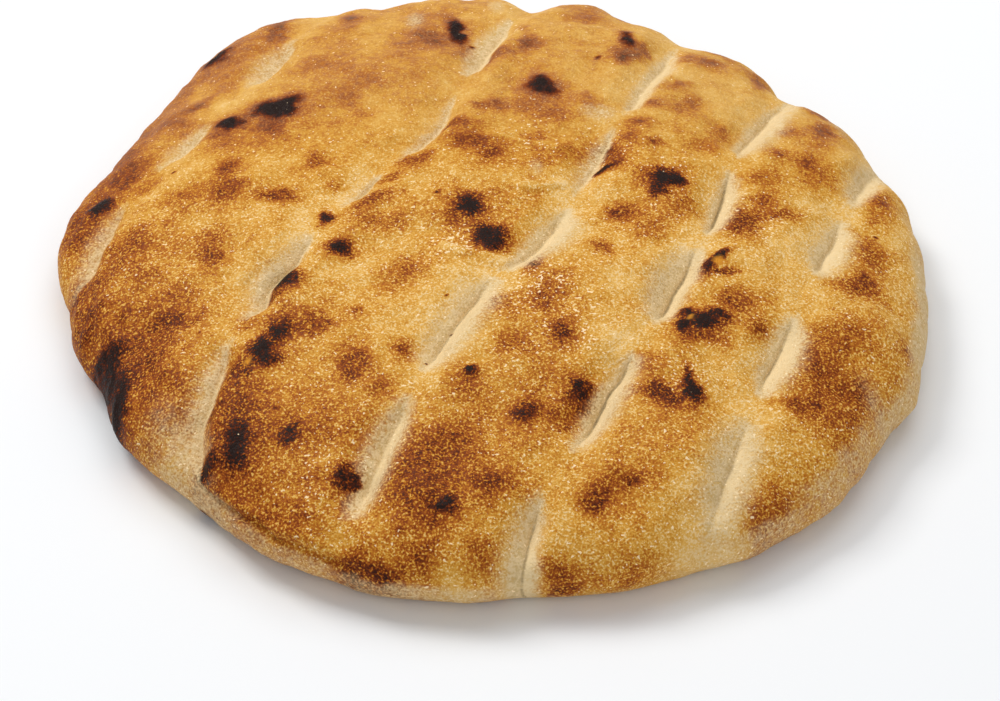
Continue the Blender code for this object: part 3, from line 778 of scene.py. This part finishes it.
crust = {
    "colors": (             # bake level and colour, darkest last
        (0.00, (0.830, 0.580, 0.270)),
        (0.20, (0.750, 0.435, 0.100)),
        (0.40, (0.610, 0.280, 0.030)),
        (0.55, (0.450, 0.142, 0.012)),
        (0.70, (0.265, 0.055, 0.006)),
        (0.85, (0.100, 0.017, 0.003)),
        (1.00, (0.016, 0.007, 0.005)),
    ),
    # slash dough: the wall's colour is painted lighter than the floor's, partly as light falling on the wall
    "shadedFloorDough": (0.740, 0.550, 0.300),
    "floorShade": (0.590, 0.420, 0.190),
    "litWallDough": (0.830, 0.640, 0.360),
    # colour of the shade painted at a slash's foot and along the fold's groove
    "footShadeColor": (0.200, 0.130, 0.050),
    "fleck": (0.640, 0.260, 0.020),
    # colour of the pale specks: partly flour, partly painted glints
    "flourGlintColor": (1.000, 0.780, 0.480),
    "patterns": {           # size in millimetres, detail, roughness
        "grain": (0.55, 1.0, 0.5),
        "mottle": (1.6, 3.0, 0.6),
        "coarse": (6.0, 3.0, 0.6),
        "glintSpeck": (0.78, 0.0, 0.5),
    },
    "gritSize": 0.80,       # angular grit within the grain
    "gritShare": 0.35,
    "gritMiddle": 0.45,
    "grainBake": -0.40,     # how much each pattern changes the bake
    "mottleBake": 0.42,
    "coarseBake": 0.45,
    "grainGlints": (0.50, 0.85, 0.37),     # grain height where the glints painted on its tops start and peak, how much paler they make it
    "paleGrain": 1.1,       # how ragged the dough's border is
    "paleEdge": (0.05, 0.70),
    "floorGrain": 0.8,      # how much of the grain shows on a slash's floor
    "floorTone": (0.70, 1.10),
    "flourGlintStrength": 0.90,  # the pale grains, partly flour and partly painted glints
    "flourGlintCrowding": 0.16,
    "flourGlintFrom": (0.79, 0.86),
    "footShadeMottle": 0.8,      # how ragged the shade painted at a slash's foot is
    "footShadeEdge": (0.35, 1.0),
    "footShadeStrength": 0.75,
    "bump": 0.6,
    "bumpHeight": 0.7,
    "bumpGrain": 0.5,       # how much of each pattern shows as bump
    "bumpMottle": 0.5,
    "bumpCoarse": 0.7,
    "roughness": (0.45, 0.75),
    "roughGrain": (0.3, 0.7),   # grain height from which to which it gets rougher
    "specular": 0.10,
}


def feed(tree, socket, value):
    # links another node's output, or sets a plain value
    if isinstance(value, bpy.types.NodeSocket):
        tree.links.new(value, socket)
    else:
        socket.default_value = value


def addNode(tree, kind, settings=None, **inputs):
    node = tree.nodes.new(kind)
    for key, value in (settings or {}).items():
        setattr(node, key, value)
    for key, value in inputs.items():
        feed(tree, node.inputs[key], value)
    return node


def sumOf(tree, first, second, factor=1.0):
    node = addNode(tree, "ShaderNodeMath", {"operation": "MULTIPLY_ADD"})
    for socket, value in zip(node.inputs, (second, factor, first)):
        feed(tree, socket, value)
    return node.outputs[0]


def product(tree, first, second):
    node = addNode(tree, "ShaderNodeMath", {"operation": "MULTIPLY"})
    tree.links.new(first, node.inputs[0])
    tree.links.new(second, node.inputs[1])
    return node.outputs[0]


def mapRange(tree, value, fromMin, fromMax, toMin=0.0, toMax=1.0):
    node = addNode(tree, "ShaderNodeMapRange", {"interpolation_type": "SMOOTHSTEP"}, Value=value)
    node.inputs["From Min"].default_value = fromMin
    node.inputs["From Max"].default_value = fromMax
    node.inputs["To Min"].default_value = toMin
    node.inputs["To Max"].default_value = toMax
    return node.outputs["Result"]


def mixColor(tree, factor, first, second):
    node = addNode(tree, "ShaderNodeMix", {"data_type": "RGBA"})
    feed(tree, node.inputs[0], factor)
    for number, color in ((6, first), (7, second)):
        feed(tree, node.inputs[number], color if isinstance(color, bpy.types.NodeSocket) else (*color, 1.0))
    return node.outputs[2]


def pattern(tree, coords, name):
    size, detail, roughness = crust["patterns"][name]
    scale = 1.0 / (size * mm)
    node = addNode(tree, "ShaderNodeTexNoise", Vector=coords, Scale=scale, Detail=detail, Roughness=roughness)
    return node.outputs["Fac"]


def centred(tree, value):
    # a pattern's values round zero
    return sumOf(tree, -0.5, value)


def bakeColor(tree, values, grain, mottle, coarse):
    # grain and mottling make each spot a little paler or browner, and glints are painted on the grain's tops
    grainy = values["grainy"]
    level = sumOf(tree, values["bake"], product(tree, centred(tree, grain), grainy), crust["grainBake"])
    # painted glints: the grain's tops are made paler
    topsFrom, topsPeak, paler = crust["grainGlints"]
    highlightTops = mapRange(tree, grain, topsFrom, topsPeak, 0.0, paler)
    level = sumOf(tree, level, product(tree, highlightTops, grainy), -1.0)
    level = sumOf(tree, level, centred(tree, mottle), crust["mottleBake"])
    level = sumOf(tree, level, centred(tree, coarse), crust["coarseBake"])
    steps = addNode(tree, "ShaderNodeValToRGB", Fac=level)
    ladder = steps.color_ramp
    while len(ladder.elements) < len(crust["colors"]):
        ladder.elements.new(0.5)
    for element, (position, color) in zip(ladder.elements, crust["colors"]):
        element.position = position
        element.color = (*color, 1.0)
    return steps.outputs["Color"]


def withDough(tree, color, values, grain, mottle):
    # unbrowned dough: greyish on a slash's floor, creamy on its wall; the wall's lighter cream is partly
    # painted light, the floor's grey partly painted shade
    doughTone = mapRange(tree, sumOf(tree, mottle, grain, crust["floorGrain"]), *crust["floorTone"])
    shadedFloorDough = mixColor(tree, doughTone, crust["floorShade"], crust["shadedFloorDough"])
    doughColor = mixColor(tree, values["wall"], shadedFloorDough, crust["litWallDough"])
    raggedness = sumOf(tree, 1.0, centred(tree, grain), crust["paleGrain"])
    raggedness = sumOf(tree, raggedness, centred(tree, mottle), crust["paleGrain"])
    paleEdge = mapRange(tree, product(tree, values["pale"], raggedness), *crust["paleEdge"])
    return mixColor(tree, paleEdge, color, doughColor)


def withSpecksGlintsAndShade(tree, color, coords, values, mottle):
    # pale grains of flour and painted glints, the shade painted at the foot of each slash and along the fold,
    # and the orange flecks
    glintSpeck = pattern(tree, coords, "glintSpeck")
    glintSpeck = sumOf(tree, glintSpeck, product(tree, values["flourAndGlints"], values["grainy"]), crust["flourGlintCrowding"])
    # pale specks: partly flour, partly painted glints
    sparkle = mapRange(tree, glintSpeck, *crust["flourGlintFrom"], 0.0, crust["flourGlintStrength"])
    color = mixColor(tree, sparkle, color, crust["flourGlintColor"])
    # shade painted along the slashes' feet and the fold's groove
    footShade = sumOf(tree, values["crease"], centred(tree, mottle), crust["footShadeMottle"])
    footShade = mapRange(tree, footShade, *crust["footShadeEdge"], 0.0, crust["footShadeStrength"])
    color = mixColor(tree, footShade, color, crust["footShadeColor"])
    return mixColor(tree, values["fleck"], color, crust["fleck"])


def crustMaterial(valueNames):
    material = bpy.data.materials.new("bakedCrust")
    material.use_nodes = True
    tree = material.node_tree
    shader = tree.nodes["Principled BSDF"]
    coords = addNode(tree, "ShaderNodeTexCoord").outputs["Object"]
    values = {name: addNode(tree, "ShaderNodeAttribute", {"attribute_name": name}).outputs["Fac"]
              for name in valueNames}
    grain = pattern(tree, coords, "grain")
    gritScale = 1.0 / (crust["gritSize"] * mm)
    grits = addNode(tree, "ShaderNodeTexVoronoi", {"feature": "F1"}, Vector=coords, Scale=gritScale)
    grit = sumOf(tree, -crust["gritMiddle"], grits.outputs["Distance"])
    grain = sumOf(tree, grain, grit, crust["gritShare"])
    mottle = pattern(tree, coords, "mottle")
    coarse = pattern(tree, coords, "coarse")

    color = bakeColor(tree, values, grain, mottle, coarse)
    color = withDough(tree, color, values, grain, mottle)
    color = withSpecksGlintsAndShade(tree, color, coords, values, mottle)
    tree.links.new(color, shader.inputs["Base Color"])

    height = sumOf(tree, sumOf(tree, 0.0, grain, crust["bumpGrain"]), mottle, crust["bumpMottle"])
    height = sumOf(tree, height, coarse, crust["bumpCoarse"])
    bumpHeight = crust["bumpHeight"] * mm
    bump = addNode(tree, "ShaderNodeBump", Height=height, Strength=crust["bump"], Distance=bumpHeight)
    tree.links.new(bump.outputs["Normal"], shader.inputs["Normal"])
    roughness = mapRange(tree, grain, *crust["roughGrain"], *crust["roughness"])
    tree.links.new(roughness, shader.inputs["Roughness"])
    shader.inputs["Specular IOR Level"].default_value = crust["specular"]
    return material


def makeBread():
    mesh = makeLoafMesh()
    places, values = loafSurface(readPoints(mesh)[:, :2])
    setPlaces(mesh, places, values)
    mesh.materials.append(crustMaterial(list(values)))
    bread = bpy.data.objects.new("pitaLoaf", mesh)
    bpy.context.scene.collection.objects.link(bread)
    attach(bread, "root")
    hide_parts(breadNode)
    print("bread:", len(mesh.vertices), "points")


studio = {
    "floorSize": 6.0,
    "floorColor": (0.890, 0.910, 0.935),
    "floorRoughness": 0.9,
    "lights": {
        "key": {"from": (-0.85, 0.75, 1.35), "size": 0.70, "power": 16.2, "color": (1.0, 0.98, 0.95)},
        "top": {"from": (0.20, 0.75, 1.5), "size": 1.2, "power": 9.0, "color": (1.0, 1.0, 1.0)},
        "fill": {"from": (0.3, -1.2, 0.9), "size": 1.2, "power": 4.0, "color": (1.0, 1.0, 1.0)},
    },
    "worldColor": (1.0, 1.0, 1.0),
    "worldStrength": 0.40,
}


def makeFloor():
    bpy.ops.mesh.primitive_plane_add(size=studio["floorSize"])
    floor = bpy.context.object
    floor.name = "studioFloor"
    material = bpy.data.materials.new("studioPaper")
    material.use_nodes = True
    shader = material.node_tree.nodes["Principled BSDF"]
    shader.inputs["Base Color"].default_value = (*studio["floorColor"], 1.0)
    shader.inputs["Roughness"].default_value = studio["floorRoughness"]
    floor.data.materials.append(material)


def makeLight(name, settings):
    light = bpy.data.lights.new(name + "Light", "AREA")
    light.size = settings["size"]
    light.energy = settings["power"]
    light.color = settings["color"]
    lamp = bpy.data.objects.new(name + "Light", light)
    lamp.location = settings["from"]
    lamp.rotation_euler = Vector(settings["from"]).to_track_quat("Z", "Y").to_euler()
    bpy.context.scene.collection.objects.link(lamp)


def makeWorld():
    world = bpy.data.worlds.new("studioWorld")
    world.use_nodes = True
    background = world.node_tree.nodes["Background"]
    background.inputs["Color"].default_value = (*studio["worldColor"], 1.0)
    background.inputs["Strength"].default_value = studio["worldStrength"]
    bpy.context.scene.world = world
    bpy.context.scene.view_settings.view_transform = "Standard"


# Metres and degrees, and millimetres for the lens and its sensor
camera = {"elevation": 42, "distance": 0.975, "target": (0.0027, -0.0326, 0.0117), "lens": 130, "sensor": 36}


def makeCamera():
    data = bpy.data.cameras.new("photoCamera")
    data.lens = camera["lens"]
    data.sensor_width = camera["sensor"]
    view = bpy.data.objects.new("photoCamera", data)
    tilt = math.radians(camera["elevation"])
    back = Vector((0.0, -math.cos(tilt), math.sin(tilt)))
    view.location = Vector(camera["target"]) + back * camera["distance"]
    view.rotation_euler = back.to_track_quat("Z", "Y").to_euler()
    bpy.context.scene.collection.objects.link(view)
    bpy.context.scene.camera = view


makeBread()
makeFloor()
for lightName, lightSettings in studio["lights"].items():
    makeLight(lightName, lightSettings)
makeWorld()
makeCamera()
print("studio: floor, three lights and the camera")
